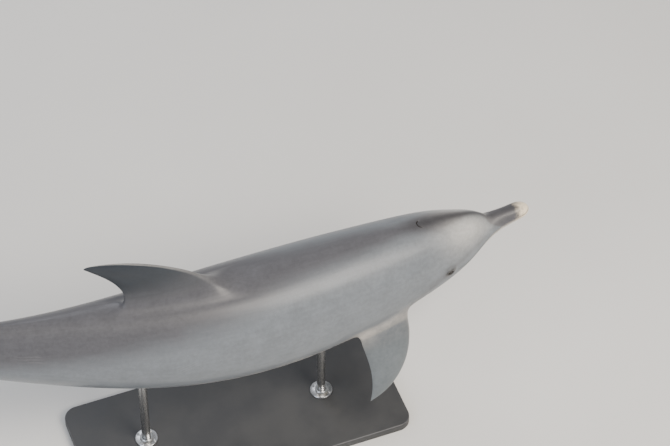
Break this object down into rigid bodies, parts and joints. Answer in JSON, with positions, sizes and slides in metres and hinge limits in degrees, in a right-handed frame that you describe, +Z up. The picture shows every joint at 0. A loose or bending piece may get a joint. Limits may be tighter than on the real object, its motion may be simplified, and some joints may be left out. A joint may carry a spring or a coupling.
{
  "type": "bottlenose dolphin display model",
  "caption": "Life-size slender-beaked bottlenose dolphin in a gentle swimming bend, held over a flat base by steel rods.",
  "frame": {"origin": "centre of the stand base's underside, on the floor", "axes": "+X towards the beak, +Y to the animal's left, +Z up"},
  "size_m": [2.466, 0.7613, 0.934],
  "materials": {
    "flesh_grey": "smooth wet-looking grey skin",
    "flesh_pale": "smooth wet-looking pale skin",
    "flesh_dark": "smooth wet-looking dark grey skin",
    "eye": "dark glossy eye",
    "stand_steel": "brushed stainless steel",
    "stand_paint": "dark matt-painted board"
  },
  "bodies": {
    "root": {"beak_upper": "flesh_grey", "beak_lower": "flesh_pale", "head": "flesh_grey", "neck": "flesh_grey", "trunk_front": "flesh_grey", "trunk_middle": "flesh_grey", "trunk_rear": "flesh_grey", "tail_stock_front": "flesh_grey", "tail_stock_rear": "flesh_grey", "dorsal_fin": "flesh_dark", "flipper_left": "flesh_dark", "flipper_right": "flesh_dark", "fluke_left": "flesh_dark", "fluke_right": "flesh_dark", "eye_left": "eye", "eye_right": "eye", "stand_base": "stand_paint", "stand_collar_front": "stand_steel", "stand_collar_rear": "stand_steel", "stand_rod_front": "stand_steel", "stand_rod_rear": "stand_steel"}
  },
  "joints": []
}
